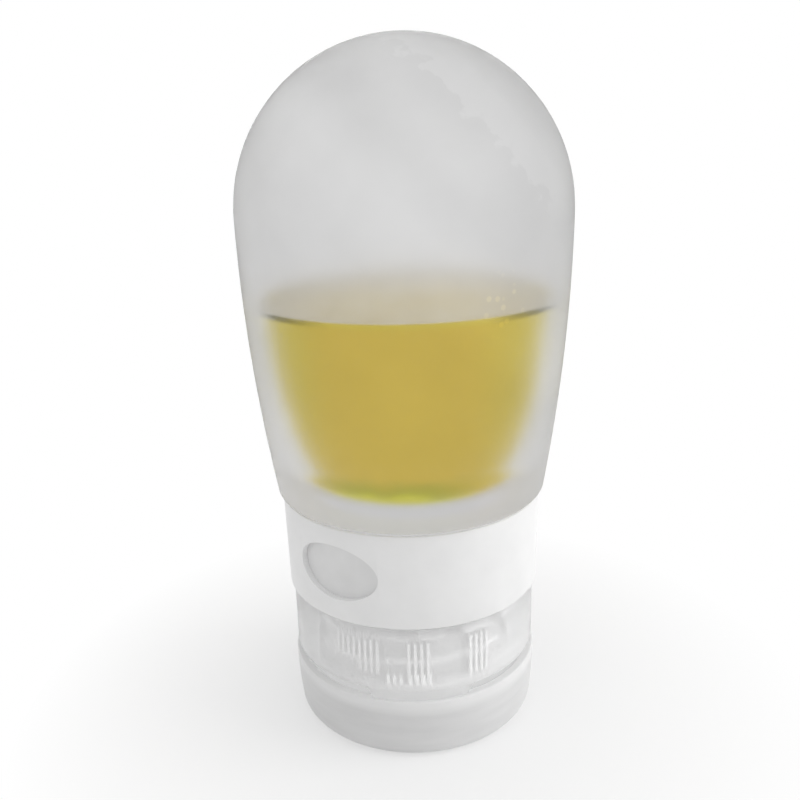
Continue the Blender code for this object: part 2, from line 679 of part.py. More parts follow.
def main():
    clear_scene()
    parts = new_collection("squeeze_bottle")
    tools = new_collection("cutters")
    tools.hide_render = True
    joints = new_collection("joint_axes")

    silicone = plastic("frosted silicone", (0.84, 0.84, 0.84), 0.45, transmission=0.9, ior=1.41)
    white = plastic("white polypropylene", (0.88, 0.88, 0.88), 0.35)
    frosted = plastic("frosted polypropylene", (0.86, 0.86, 0.86), 0.35, transmission=0.8, ior=1.49)
    rubber = plastic("valve silicone", (0.80, 0.80, 0.79), 0.5, transmission=0.5, ior=1.41)

    squeeze_body(parts, silicone)
    neck_ring(parts, tools, frosted)
    label_ring(parts, white)
    collar = label_collar(parts, tools, white)
    seal = seal_washer(parts, rubber)
    core = cap_core(parts, tools, frosted)
    shell = cap_shell(parts, tools, frosted)
    valve = drip_valve(parts, tools, rubber)
    retainer = valve_retainer(parts, white)
    lid = flip_lid(parts, tools, frosted)

    dial_axis = axis_empty("label_turn_axis", 0, COLLAR_BOTTOM, joints)
    screw_axis = axis_empty("cap_screw_axis", 0, DECK_TOP, joints)
    hinge_axis = axis_empty("lid_hinge_axis", HINGE_Y, HINGE_Z, joints)
    carry(dial_axis, collar)
    carry(screw_axis, seal, core, shell, valve, retainer, hinge_axis)
    carry(hinge_axis, lid)


main()
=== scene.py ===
"""Looks of a travel squeeze bottle: frosted silicone body with amber soap, white label dial, two-walled
frosted screw cap and the flip lid that it stands on. Sizes are in millimetres, turns in degrees."""

import math

import bmesh
import bpy
from mathutils import Matrix, Vector


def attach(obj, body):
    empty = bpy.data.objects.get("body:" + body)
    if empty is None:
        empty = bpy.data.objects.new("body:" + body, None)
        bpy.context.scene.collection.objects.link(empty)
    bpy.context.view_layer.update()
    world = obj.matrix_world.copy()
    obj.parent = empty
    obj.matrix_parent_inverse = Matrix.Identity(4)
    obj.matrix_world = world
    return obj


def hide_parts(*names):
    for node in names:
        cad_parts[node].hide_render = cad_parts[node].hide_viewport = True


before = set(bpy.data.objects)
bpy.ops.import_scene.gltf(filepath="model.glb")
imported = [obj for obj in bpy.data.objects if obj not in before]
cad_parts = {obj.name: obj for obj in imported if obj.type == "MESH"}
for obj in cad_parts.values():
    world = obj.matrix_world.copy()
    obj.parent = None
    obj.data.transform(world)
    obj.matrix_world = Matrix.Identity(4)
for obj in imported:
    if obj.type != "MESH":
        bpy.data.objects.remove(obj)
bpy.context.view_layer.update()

MM = 0.001
SEGMENTS = 192
RIBBED_SEGMENTS = 240  # 1.5 degrees each, the width of a rib
SAME = 0.01  # two heights nearer than this are one
EDGE_ROUNDING = 0.25

# Heights, from the foot upwards
REGISTER_BOTTOM = 8.9
DECK_BOTTOM = 10.6
LID_RIM = 10.7
DECK_TOP = 12.1
SHELL_BOTTOM = 12.4
RIB_FOOT = 13.5
NECK_BOTTOM = 13.9
BOSS_TOP = 14.2
MIDDLE_RIB_FOOT = 14.7
TONGUE_RIB_TOP = 14.9
NECK_LIP_TOP = 15.1
NECK_RING_BOTTOM = 15.4
HIGH_RIB_FOOT = 17.0
SLEEVE_TOP = 20.6
FLANGE_BOTTOM = 20.9
FLANGE_TOP = 23.6
COLLAR_BOTTOM = 23.9
NECK_RING_TOP = 38.3
COLLAR_TOP = 39.7
BODY_BOTTOM = 40.0
CAVITY_FLOOR = 42.2
LIQUID_LEVEL = 71.3
BODY_WIDEST = 84.9

# Radii
NECK_BORE = 11.8
NECK_RADIUS = 13.8
NECK_LIP = 15.4
RING_BORE = 14.1
RING_RADIUS = 15.7
SLEEVE_BORE = 17.0
SLEEVE_RADIUS = 18.2
RIB_HEIGHT = 1.0
RING_TOP_RADIUS = 18.5
FLANGE_RADIUS = 19.1
LABEL_RING_RADIUS = 20.38
COLLAR_BORE = 20.4
COLLAR_RADIUS = 21.3
COLLAR_TOP_RADIUS = 21.6
COLLAR_SEAT_BORE = 18.2
SHELL_SEAT_BORE = 18.5
SHELL_BORE = 19.5
SHELL_RADIUS = 20.7
REGISTER_RADIUS = 19.3
LID_BORE = 19.6
LID_RADIUS = 21.0

# Threads: one turn on each side
THREAD_LEAD = 4.2
THREAD_PHASE = 0.3  # of a turn, where the turns show through the sleeve

# Places of the ribs, round from the front
RIBS_IN_GROUP = 4
RIB_STEP = 3.0
RIB_PLACES = 12
DOUBLE_OFFSET = 6.0
TONGUE_RIBS = (-13.5, -10.5, -7.5, -3.0, 0.0, 3.0, 6.0)
RIB_REACH = 0.7  # half a rib's width, less a little

# Hinge, with half lengths along its axis
HINGE_Y = 20.3
HINGE_Z = 11.5
KNUCKLE_RADIUS = 1.5
PIN_RADIUS = 0.9
PIN_BORE = 1.0
KNUCKLE_END = 3.1
EAR_START = 3.4
PIN_END = 5.3
EAR_END = 5.6
EAR_ROOM = 5.9
HINGE_ROOM = 6.2
CUT_FROM = 17.0  # cuts through the wall at the back run between these
CUT_TO = 22.0

# The silicone's outline and wall
BODY_RADIUS = 26.2
DOME_HEIGHT = 26.2
TAPER_HEIGHT = BODY_WIDEST - BODY_BOTTOM
TAPER_POWER = 1.9
SHOULDER_RADIUS = 22.2
WALL = 2.0
SHOULDER_THICKENING = 4.6
THICKENING_POWER = 5
FLOOR_FILLET = 4.0
BORE_FILLET = 1.1


# Modelling steps


def deselect():
    bpy.ops.object.select_all(action="DESELECT")


def make_active(piece):
    deselect()
    piece.select_set(True)
    bpy.context.view_layer.objects.active = piece


def just_added(name):
    """The primitive that was added last, under its piece's name."""
    piece = bpy.context.active_object
    piece.name = piece.data.name = name
    return piece


def put_place_in_mesh():
    bpy.ops.object.transform_apply(location=True, rotation=True, scale=True)


def arc(centre_r, centre_z, radius_r, radius_z, start, end, steps):
    """Points of an elliptic arc in the (radius, height) plane, angles from outward, upwards."""
    angles = [math.radians(start + (end - start) * step / steps) for step in range(steps + 1)]
    return [(centre_r + radius_r * math.cos(a), centre_z + radius_z * math.sin(a)) for a in angles]


def select_faces(piece, test):
    """In edit mode, selects the faces whose middle, in millimetres, and normal pass the test."""
    bpy.ops.mesh.select_all(action="DESELECT")
    bpy.ops.mesh.select_mode(type="FACE")
    mesh = bmesh.from_edit_mesh(piece.data)
    for face in mesh.faces:
        face.select_set(bool(test(face.calc_center_median() / MM, face.normal)))
    mesh.select_flush_mode()
    bmesh.update_edit_mesh(piece.data)


def lathe(name, profile, segments=SEGMENTS, closed=True, turn=0.0):
    """Extrudes a vertex along (radius, height) points, spins the line about Z and turns the result."""
    deselect()
    bpy.ops.mesh.primitive_plane_add(size=MM)
    piece = just_added(name)
    bpy.ops.object.mode_set(mode="EDIT")
    bpy.ops.mesh.select_mode(type="VERT")
    bpy.ops.mesh.select_all(action="SELECT")
    bpy.ops.mesh.merge(type="CENTER")
    radius, height = profile[0]
    bpy.ops.transform.translate(value=(radius * MM, 0, height * MM))
    for next_radius, next_height in profile[1:]:
        step = ((next_radius - radius) * MM, 0, (next_height - height) * MM)
        bpy.ops.mesh.extrude_region_move(TRANSFORM_OT_translate={"value": step})
        radius, height = next_radius, next_height
    if closed:
        mesh = bmesh.from_edit_mesh(piece.data)
        mesh.verts.ensure_lookup_table()
        mesh.verts[0].select_set(True)
        bmesh.update_edit_mesh(piece.data)
        bpy.ops.mesh.edge_face_add()
    bpy.ops.mesh.select_all(action="SELECT")
    bpy.ops.mesh.spin(steps=segments, angle=math.tau, center=(0, 0, 0), axis=(0, 0, 1))
    bpy.ops.mesh.select_all(action="SELECT")
    bpy.ops.mesh.remove_doubles(threshold=1e-7)
    if turn:
        bpy.ops.transform.rotate(value=math.radians(turn), orient_axis="Z", center_override=(0, 0, 0))
    bpy.ops.mesh.normals_make_consistent(inside=False)
    bpy.ops.object.mode_set(mode="OBJECT")
    return piece


def box(name, low, high):
    """A box between two corners."""
    deselect()
    bpy.ops.mesh.primitive_cube_add(size=MM)
    piece = just_added(name)
    size = [b - a for a, b in zip(low, high)]
    middle = [(a + b) / 2 * MM for a, b in zip(low, high)]
    piece.matrix_world = Matrix.Translation(middle) @ Matrix.Diagonal([*size, 1.0])
    put_place_in_mesh()
    return piece


def barrel(name, radius, from_x, to_x):
    """A round bar along X on the hinge's axis."""
    deselect()
    bpy.ops.mesh.primitive_cylinder_add(
        vertices=48,
        radius=radius * MM,
        depth=(to_x - from_x) * MM,
        location=((from_x + to_x) / 2 * MM, HINGE_Y * MM, HINGE_Z * MM),
        rotation=(0, math.pi / 2, 0),
    )
    piece = just_added(name)
    put_place_in_mesh()
    return piece


def helix(name, radius, wire, start_z, start_turn):
    """One turn of a round thread: a small ring swept up a right-handed helix and closed at both ends."""
    deselect()
    bpy.ops.mesh.primitive_circle_add(
        vertices=8, radius=wire * MM, location=(radius * MM, 0, start_z * MM), rotation=(math.pi / 2, 0, 0)
    )
    thread = just_added(name)
    put_place_in_mesh()
    screw = thread.modifiers.new("thread", "SCREW")
    screw.axis = "Z"
    screw.angle = math.tau
    screw.screw_offset = THREAD_LEAD * MM
    screw.steps = screw.render_steps = 96
    screw.use_merge_vertices = False
    bpy.ops.object.modifier_apply(modifier=screw.name)
    bpy.ops.object.mode_set(mode="EDIT")
    bpy.ops.mesh.select_all(action="SELECT")
    bpy.ops.mesh.fill_holes(sides=0)
    bpy.ops.mesh.select_all(action="SELECT")
    bpy.ops.transform.rotate(value=math.radians(start_turn), orient_axis="Z", center_override=(0, 0, 0))
    bpy.ops.mesh.normals_make_consistent(inside=False)
    bpy.ops.object.mode_set(mode="OBJECT")
    return thread


def combine(piece, tool, operation):
    """Cuts the tool out of the piece, or joins it on, and removes the tool."""
    make_active(piece)
    modifier = piece.modifiers.new(operation, "BOOLEAN")
    modifier.operation = operation
    modifier.solver = "EXACT"
    modifier.object = tool
    bpy.ops.object.modifier_apply(modifier=modifier.name)
    bpy.data.objects.remove(tool)
    return piece


def smooth(piece, angle=32.0):
    make_active(piece)
    bpy.ops.object.shade_smooth_by_angle(angle=math.radians(angle))
    return piece


def direction(place):
    """Degrees round from the front, towards +X."""
    return math.degrees(math.atan2(place.x, -place.y))


def settle(piece, body, slot, material, *nodes):
    """Finishes a piece: its material, the body it rides on and the CAD nodes it stands for."""
    piece.data.materials.clear()
    piece.data.materials.append(material)
    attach(piece, body)
    if nodes:
        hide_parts(*nodes)
    return piece


# Steps for materials


def linear(code):
    """Linear colour of an sRGB hex value."""
    channels = [int(code[i : i + 2], 16) / 255 for i in (1, 3, 5)]
    return (*(c / 12.92 if c <= 0.04045 else ((c + 0.055) / 1.055) ** 2.4 for c in channels), 1.0)


WHITE = linear("#ffffff")


def set_inputs(node, inputs):
    """Sets a node's inputs. Each takes a value, another node's output, or a node for its first output."""
    for name, value in inputs.items():
        if isinstance(value, bpy.types.Node):
            value = value.outputs[0]
        if isinstance(value, bpy.types.NodeSocket):
            node.id_data.links.new(value, node.inputs[name])
        else:
            node.inputs[name].default_value = value


def add(material, kind, inputs=(), **settings):
    """Adds a node with its settings and links."""
    node = material.node_tree.nodes.new(kind)
    for name, value in settings.items():
        setattr(node, name, value)
    set_inputs(node, dict(inputs))
    return node


def new_material(name):
    """A material with its shader and the Object coordinates for its patterns."""
    material = bpy.data.materials.new(name)
    material.use_nodes = True
    shader = material.node_tree.nodes["Principled BSDF"]
    return material, shader, add(material, "ShaderNodeTexCoord").outputs["Object"]


def rise(start, end, most=1.0):
    """Map Range inputs that rise from 0 to the most between two places in millimetres."""
    return {"From Min": start * MM, "From Max": end * MM, "To Max": most}


def set_stops(ramp, *stops):
    """Gives a ramp its stops of position and sRGB hex value, in rising order."""
    found = ramp.color_ramp.elements
    found[0].position, found[1].position = stops[0][0], stops[-1][0]
    for position, _ in stops[1:-1]:
        found.new(position)
    for stop, (_, code) in zip(found, stops):
        stop.color = linear(code)
    return ramp


def clouded(material, place, darker, lighter, size, detail):
    """Colour that clouds between two sRGB hex values."""
    clouds = add(material, "ShaderNodeTexNoise", {"Vector": place, "Scale": 1 / (size * MM), "Detail": detail})
    tones = {"Color1": linear(darker), "Color2": linear(lighter)}
    return add(material, "ShaderNodeMixRGB", {"Fac": clouds, **tones})


def grain_bump(material, place, size, depth):
    """Moulded grain as bump. The real grain, about 0.05 mm, is too fine to show, so it is drawn coarser."""
    pattern = {"Vector": place, "Scale": 1 / (size * MM), "Detail": 2.0, "Roughness": 0.5}
    noise = add(material, "ShaderNodeTexNoise", pattern)
    return add(material, "ShaderNodeBump", {"Strength": 1.0, "Distance": depth * MM, "Height": noise})


def light_from_inside(material, shader, tone, strength, left):
    """Shows a deep liquid's tone as light from inside it, and leaves the lamps a share of that tone."""
    tones = {"Color1": tone, "Color2": (left, left, left, 1.0)}
    dimmed = add(material, "ShaderNodeMixRGB", {"Fac": 1.0, **tones}, blend_type="MULTIPLY")
    set_inputs(shader, {"Base Color": dimmed, "Emission Color": tone, "Emission Strength": strength})


# Silicone and soap


def frosted_silicone():
    """Platinum-cured silicone from a blasted mould: milky and matte, with faint clouding from handling, a paler
    streak that is a painted highlight, and a pale patch with a frayed edge. A few tiny drops above the soap carry
    a painted sparkle. The IOR is well below silicone's 1.41, so that the wall blurs what is behind it without
    bending it out of place."""
    material, shader, place = new_material("frosted silicone")
    height = add(material, "ShaderNodeSeparateXYZ", {0: place}).outputs["Z"]
    clouds = add(material, "ShaderNodeTexNoise", {"Vector": place, "Scale": 1 / (14 * MM), "Detail": 3.0})

    # A pale patch lies on the dome's upper right: it starts at a frayed edge and fades outwards and downwards
    pale_patch_direction = (0.749, 0.199, 0.633)
    fraying = 6 * MM
    outwards = add(material, "ShaderNodeVectorMath", {0: place, 1: pale_patch_direction}, operation="DOT_PRODUCT")
    outwards = outwards.outputs["Value"]
    grain = add(material, "ShaderNodeTexNoise", {"Vector": place, "Scale": 1 / (3.2 * MM), "Detail": 5.0})
    fray = add(material, "ShaderNodeMapRange", {"Value": grain, "To Min": -fraying, "To Max": fraying})
    frayed = add(material, "ShaderNodeMath", {0: outwards, 1: fray}, operation="ADD")
    pale_patch = add(material, "ShaderNodeMapRange", {"Value": frayed, **rise(65.2, 66.0, 0.34)})
    fading = add(material, "ShaderNodeMapRange", {"Value": outwards, **rise(74.5, 70.5)})
    pale_patch = add(material, "ShaderNodeMath", {0: pale_patch, 1: fading}, operation="MULTIPLY")
    ending = add(material, "ShaderNodeMapRange", {"Value": height, **rise(84, 89)})
    pale_patch = add(material, "ShaderNodeMath", {0: pale_patch, 1: ending}, operation="MULTIPLY")

    # Painted highlight: a paler streak runs slantwise over the dome, from the upper left to the lower right
    streak_side, streak_place = (0.68, 0.0, 0.73), 61.5 * MM
    across = add(material, "ShaderNodeVectorMath", {0: place, 1: streak_side}, operation="DOT_PRODUCT")
    across = across.outputs["Value"]
    across = add(material, "ShaderNodeMath", {0: across, 1: streak_place}, operation="SUBTRACT")
    across = add(material, "ShaderNodeMath", {0: across}, operation="ABSOLUTE")
    streak = add(material, "ShaderNodeMapRange", {"Value": across, **rise(7, 2, 0.3)})

    cloudy = add(material, "ShaderNodeMath", {0: clouds, 1: pale_patch}, operation="ADD")
    cloudy = add(material, "ShaderNodeMath", {0: cloudy, 1: streak}, operation="ADD")
    tone = set_stops(add(material, "ShaderNodeValToRGB", {"Fac": cloudy}), (0.35, "#d5d5d5"), (0.95, "#e7e7e7"))

    # Drops on the wall, drawn as pale spots with a painted sparkle, in one patch just above the soap
    splash_place = (13 * MM, -22 * MM, 74.2 * MM)
    cells = add(material, "ShaderNodeTexVoronoi", {"Vector": place, "Scale": 1 / (1.5 * MM), "Randomness": 1.0})
    middle, rim, strength = 0.2, 0.34, 0.95
    drop = {"Value": cells, "From Min": rim, "From Max": middle, "To Max": strength}
    drop = add(material, "ShaderNodeMapRange", drop)
    away = add(material, "ShaderNodeVectorMath", {0: place, 1: splash_place}, operation="DISTANCE")
    splash = add(material, "ShaderNodeMapRange", {"Value": away.outputs["Value"], **rise(5, 2.5)})
    drop = add(material, "ShaderNodeMath", {0: drop, 1: splash}, operation="MULTIPLY")
    tone = add(material, "ShaderNodeMixRGB", {"Fac": drop, "Color1": tone, "Color2": linear("#fffdf2")})

    rough = {"Value": cloudy, "From Min": 0.3, "From Max": 0.8, "To Min": 0.5, "To Max": 0.58}
    rough = add(material, "ShaderNodeMapRange", rough)
    set_inputs(shader, {"Base Color": tone, "Roughness": rough, "IOR": 1.15, "Transmission Weight": 1.0})
    set_inputs(shader, {"Sheen Weight": 0.45, "Sheen Roughness": 0.35})
    return material


def polished_silicone():
    """The inside, cast against a polished core: wet and clear."""
    material, shader, _ = new_material("polished silicone inside")
    set_inputs(shader, {"Base Color": linear("#f7f7f7"), "Roughness": 0.06})
    set_inputs(shader, {"IOR": 1.15, "Transmission Weight": 1.0})
    return material


def milky_silicone():
    """The thick neck, too deep to see through: soft white, with a painted glow for light scattered in it."""
    material, shader, _ = new_material("milky silicone neck")
    set_inputs(shader, {"Base Color": linear("#909094"), "Roughness": 0.5, "IOR": 1.41})
    set_inputs(shader, {"Emission Color": linear("#f4f4f6"), "Emission Strength": 0.53})
    return material


def soap():
    """Clear amber liquid soap, deep enough to look solid; greener to the sides, and darker there as painted
    shade.
    Low in the middle, painted shade and a painted glint draw the neck's opening seen through the soap: an olive
    smear with a paler yellow-green band below it."""
    material, shader, place = new_material("amber liquid soap")
    set_inputs(shader, {"Roughness": 0.15, "IOR": 1.36})
    axes = add(material, "ShaderNodeSeparateXYZ", {0: place}).outputs
    # Towards the sides: greener, and darker as painted shade
    sideways = add(material, "ShaderNodeMath", {0: axes["X"]}, operation="ABSOLUTE")
    edge = add(material, "ShaderNodeMapRange", {"Value": sideways, **rise(8, 22)})
    tones = {"Color1": linear("#eed15d"), "Color2": linear("#ded052")}
    amber = add(material, "ShaderNodeMixRGB", {"Fac": edge, **tones})

    # Painted shade and a painted glint low in the middle: the neck's opening seen through the soap
    smear_height, smear_place, swirling = 8.0, 2 * MM, 0.34
    depth = add(
        material, "ShaderNodeMapRange", {"Value": axes["Z"], **rise(CAVITY_FLOOR, CAVITY_FLOOR + smear_height)}
    )
    swirls = add(material, "ShaderNodeTexNoise", {"Vector": place, "Scale": 1 / (7 * MM), "Detail": 2.0})
    uneven = add(material, "ShaderNodeMapRange", {"Value": swirls, "To Min": -swirling, "To Max": swirling})
    depth = add(material, "ShaderNodeMath", {0: depth, 1: uneven}, operation="ADD")
    smear = add(material, "ShaderNodeValToRGB", {"Fac": depth})
    set_stops(smear, (0.1, "#ece25c"), (0.3, "#ece858"), (0.42, "#ccc656"), (0.56, "#d6c856"), (0.8, "#eed15d"))
    from_smear = add(material, "ShaderNodeMath", {0: axes["X"], 1: smear_place}, operation="ADD")
    from_smear = add(material, "ShaderNodeMath", {0: from_smear}, operation="ABSOLUTE")
    plain = add(material, "ShaderNodeMapRange", {"Value": from_smear, **rise(7, 13)})

    tone = add(material, "ShaderNodeMixRGB", {"Fac": plain, "Color1": smear, "Color2": amber})
    light_from_inside(material, shader, tone, strength=0.53, left=0.34)
    return material


def soap_surface():
    """The top of the soap: paler, because the sky lies on it, and palest at the sides and back, with a thin
    skin of foam in patches."""
    material, shader, place = new_material("soap surface")
    foam = add(material, "ShaderNodeTexNoise", {"Vector": place, "Scale": 1 / (9 * MM), "Detail": 3.0})
    tone = set_stops(add(material, "ShaderNodeValToRGB", {"Fac": foam}), (0.35, "#e3cd88"), (0.68, "#f7eabf"))
    axes = add(material, "ShaderNodeSeparateXYZ", {0: place}).outputs
    sideways = add(material, "ShaderNodeMath", {0: axes["X"]}, operation="ABSOLUTE")
    paler = add(material, "ShaderNodeMapRange", {"Value": sideways, **rise(8, 20, 0.55)})
    tone = add(material, "ShaderNodeMixRGB", {"Fac": paler, "Color1": tone, "Color2": linear("#e8e1ce")})
    backlit = add(material, "ShaderNodeMapRange", {"Value": axes["Y"], **rise(1, 20, 0.65)})
    tone = add(material, "ShaderNodeMixRGB", {"Fac": backlit, "Color1": tone, "Color2": WHITE})
    set_inputs(shader, {"Base Color": tone, "Roughness": 0.08, "IOR": 1.36})
    return material


def soap_at_the_wall():
    """Where the soap climbs the wall, painted shade makes a dark line on both sides of the front; amber
    elsewhere.
    """
    material, shader, place = new_material("soap at the wall")
    set_inputs(shader, {"Roughness": 0.2, "IOR": 1.36})
    axes = add(material, "ShaderNodeSeparateXYZ", {0: place}).outputs
    sideways = add(material, "ShaderNodeMath", {0: axes["X"]}, operation="ABSOLUTE")
    sideways = add(material, "ShaderNodeMapRange", {"Value": sideways, **rise(11, 19)})
    forward = add(material, "ShaderNodeMapRange", {"Value": axes["Y"], **rise(4, -9)})
    share = add(material, "ShaderNodeMath", {0: sideways, 1: forward}, operation="MULTIPLY")
    # Painted shade: the dark line at both sides of the front
    tones = {"Color1": linear("#ecd660"), "Color2": linear("#6e682c")}
    tone = add(material, "ShaderNodeMixRGB", {"Fac": share, **tones})
    light_from_inside(material, shader, tone, strength=0.42, left=0.52)
    return material


# Plastics


def white_plastic(name, darker, lighter, glow):
    """Injection-moulded white polypropylene: satin, slightly waxy, from a finely blasted mould. The glow is
    the light that comes through it."""
    material, shader, place = new_material(name)
    clouds = add(material, "ShaderNodeTexNoise", {"Vector": place, "Scale": 1 / (6 * MM), "Detail": 3.0})
    tone = set_stops(add(material, "ShaderNodeValToRGB", {"Fac": clouds}), (0.3, darker), (0.7, lighter))
    set_inputs(shader, {"Base Color": tone, "Roughness": 0.42, "IOR": 1.49})
    set_inputs(shader, {"Emission Color": WHITE, "Emission Strength": glow})
    set_inputs(shader, {"Normal": grain_bump(material, place, size=0.35, depth=0.006)})
    return material


def threads_shown(material, place, darker, lighter):
    """Colour with the screw thread's turns showing through as soft paler bands that climb to the right."""
    waviness = 0.16
    axes = add(material, "ShaderNodeSeparateXYZ", {0: place}).outputs
    turn = add(material, "ShaderNodeMath", {0: axes["Y"], 1: axes["X"]}, operation="ARCTAN2")
    turn = add(material, "ShaderNodeMath", {0: turn, 1: math.tau}, operation="DIVIDE")
    climb = add(material, "ShaderNodeMath", {0: axes["Z"], 1: THREAD_LEAD * MM}, operation="DIVIDE")
    phase = add(material, "ShaderNodeMath", {0: climb, 1: turn}, operation="SUBTRACT")
    phase = add(material, "ShaderNodeMath", {0: phase, 1: THREAD_PHASE}, operation="ADD")
    phase = add(material, "ShaderNodeMath", {0: phase}, operation="FRACT")
    streaks = add(material, "ShaderNodeTexNoise", {"Vector": place, "Scale": 1 / (5 * MM), "Detail": 4.0})
    uneven = add(material, "ShaderNodeMapRange", {"Value": streaks, "To Min": -waviness, "To Max": waviness})
    phase = add(material, "ShaderNodeMath", {0: phase, 1: uneven}, operation="ADD")
    tone = add(material, "ShaderNodeValToRGB", {"Fac": phase})
    return set_stops(tone, (0.25, darker), (0.5, lighter), (0.72, darker))


def lit_through(shader, tone, specular, glow):
    """Finish of the cap's natural polypropylene: waxy, and lit a little by the light that comes through."""
    set_inputs(shader, {"Base Color": tone, "Roughness": 0.5, "IOR": 1.49, "Specular IOR Level": specular})
    set_inputs(shader, {"Emission Color": WHITE, "Emission Strength": glow})


def natural_plastic():
    """Natural polypropylene of the cap's inside: waxy, whitish, with the thread's turns showing through."""
    material, shader, place = new_material("natural polypropylene")
    lit_through(shader, threads_shown(material, place, "#cecece", "#eeeeee"), specular=0.3, glow=0.145)
    return material


def thin_plastic():
    """The same plastic where it is thin, in the ribs: light comes through and makes it whiter."""
    material, shader, place = new_material("natural polypropylene, thin")
    tone = clouded(material, place, "#f0f0f0", "#ffffff", size=1.2, detail=2.0)
    lit_through(shader, tone, specular=0.3, glow=0.16)
    return material


def shaded_plastic():
    """The same plastic low on the cap, between shell and lid: greyer, and evenly lit by light from inside."""
    material, shader, place = new_material("natural polypropylene, shaded")
    tone = clouded(material, place, "#808080", "#969696", size=3, detail=3.0)
    lit_through(shader, tone, specular=0.2, glow=0.43)
    return material


def clear_plastic(name, darker, lighter, roughness, transmission, ior=1.49, glow=0.0):
    """Frosted see-through polypropylene or silicone: greyish white, cloudy along the flow of the moulding. The
    glow is the light that gathers in a thick rim. An IOR below 1.49 keeps what is behind a thin wall in place."""
    material, shader, place = new_material(name)
    along = add(material, "ShaderNodeMapping", {"Vector": place, "Scale": (0.15, 0.15, 1.0)})
    tone = clouded(material, along, darker, lighter, size=2, detail=4.0)
    set_inputs(shader, {"Base Color": tone, "Roughness": roughness, "IOR": ior})
    set_inputs(shader, {"Transmission Weight": transmission})
    set_inputs(shader, {"Emission Color": WHITE, "Emission Strength": glow})
    set_inputs(shader, {"Normal": grain_bump(material, place, size=0.3, depth=0.002)})
    return material


def pale_above(material, height):
    """Whitens a plastic over the last millimetres below a height, where the wall is thin, partly as a painted
    highlight.
    """
    shader = material.node_tree.nodes["Principled BSDF"]
    below = shader.inputs["Base Color"].links[0].from_socket
    place = add(material, "ShaderNodeTexCoord").outputs["Object"]
    z = add(material, "ShaderNodeSeparateXYZ", {0: place}).outputs["Z"]
    share = add(material, "ShaderNodeMapRange", {"Value": z, **rise(height - 2.6, height - 1.2)})
    tone = add(material, "ShaderNodeMixRGB", {"Fac": share, "Color1": below, "Color2": WHITE})
    set_inputs(shader, {"Base Color": tone})
    return material


# Silicone body and the soap in it


def outer_radius(drop):
    """Radius at a share of the taper's height below the widest place."""
    return BODY_RADIUS - (BODY_RADIUS - SHOULDER_RADIUS) * drop**TAPER_POWER


def cavity_radius(drop):
    return outer_radius(drop) - WALL - SHOULDER_THICKENING * drop**THICKENING_POWER


def cavity_profile(inset, top):
    """The cavity's wall from its floor up to a height, moved in by a gap."""
    steps = 28
    lowest = (BODY_WIDEST - CAVITY_FLOOR - FLOOR_FILLET) / TAPER_HEIGHT
    highest = (BODY_WIDEST - top) / TAPER_HEIGHT
    drops = [lowest + (highest - lowest) * step / steps for step in range(steps + 1)]
    wall = [(cavity_radius(d) - inset, BODY_WIDEST - d * TAPER_HEIGHT) for d in drops]
    fillet = FLOOR_FILLET - inset
    return arc(wall[0][0] - fillet, CAVITY_FLOOR + FLOOR_FILLET, fillet, fillet, -90, 0, 8)[:-1] + wall


def make_body(frosted, polished, milky):
    """The silicone, turned in one piece: dome, taper and neck outside, and the cavity and bore inside."""
    edge_height, fillet, rounding, steps = 1.2, 0.4, 0.3, 32
    dome = arc(0, BODY_WIDEST, BODY_RADIUS, DOME_HEIGHT, 90, 0, 40)
    edge_start = 1 - edge_height / TAPER_HEIGHT
    drops = [edge_start * step / steps for step in range(1, steps + 1)]
    taper = [(outer_radius(drop), BODY_WIDEST - drop * TAPER_HEIGHT) for drop in drops]
    edge_radius = outer_radius(edge_start)
    edge_width = edge_radius - COLLAR_TOP_RADIUS + EDGE_ROUNDING
    edge = arc(edge_radius - edge_width, BODY_BOTTOM + edge_height, edge_width, edge_height, 0, -90, 8)[1:]
    neck = [
        *arc(NECK_RADIUS + fillet, BODY_BOTTOM - fillet, -fillet, fillet, 90, 0, 4),
        (NECK_RADIUS, NECK_LIP_TOP),
        *arc(NECK_LIP - rounding, NECK_LIP_TOP - rounding, rounding, rounding, 90, 0, 3),
        *arc(NECK_LIP - rounding, NECK_BOTTOM + rounding, rounding, rounding, 0, -90, 3),
        (NECK_BORE + rounding, NECK_BOTTOM),
        (NECK_BORE, NECK_BOTTOM + rounding),
        *arc(NECK_BORE + BORE_FILLET, CAVITY_FLOOR - BORE_FILLET, -BORE_FILLET, BORE_FILLET, 0, 90, 5),
    ]
    inside = cavity_profile(0.0, BODY_WIDEST)
    inside += arc(0, BODY_WIDEST, BODY_RADIUS - WALL, DOME_HEIGHT - WALL, 0, 90, 32)[1:]
    body = lathe("silicone_body", dome + taper + edge + neck + inside, closed=False)
    settle(smooth(body), "bottle", "squeeze_body", frosted, "squeeze_body")
    body.data.materials.append(polished)
    body.data.materials.append(milky)
    skin = WALL / 2
    for face in body.data.polygons:
        radius = face.center.xy.length / MM
        height = face.center.z / MM
        if height > BODY_WIDEST:
            inner = math.hypot(radius, height - BODY_WIDEST) < BODY_RADIUS - skin
        elif height > BODY_BOTTOM:
            inner = radius < outer_radius((BODY_WIDEST - height) / TAPER_HEIGHT) - skin
        else:
            inner = True
        if inner:
            face.material_index = 1 if height > CAVITY_FLOOR - SAME else 2
    return body


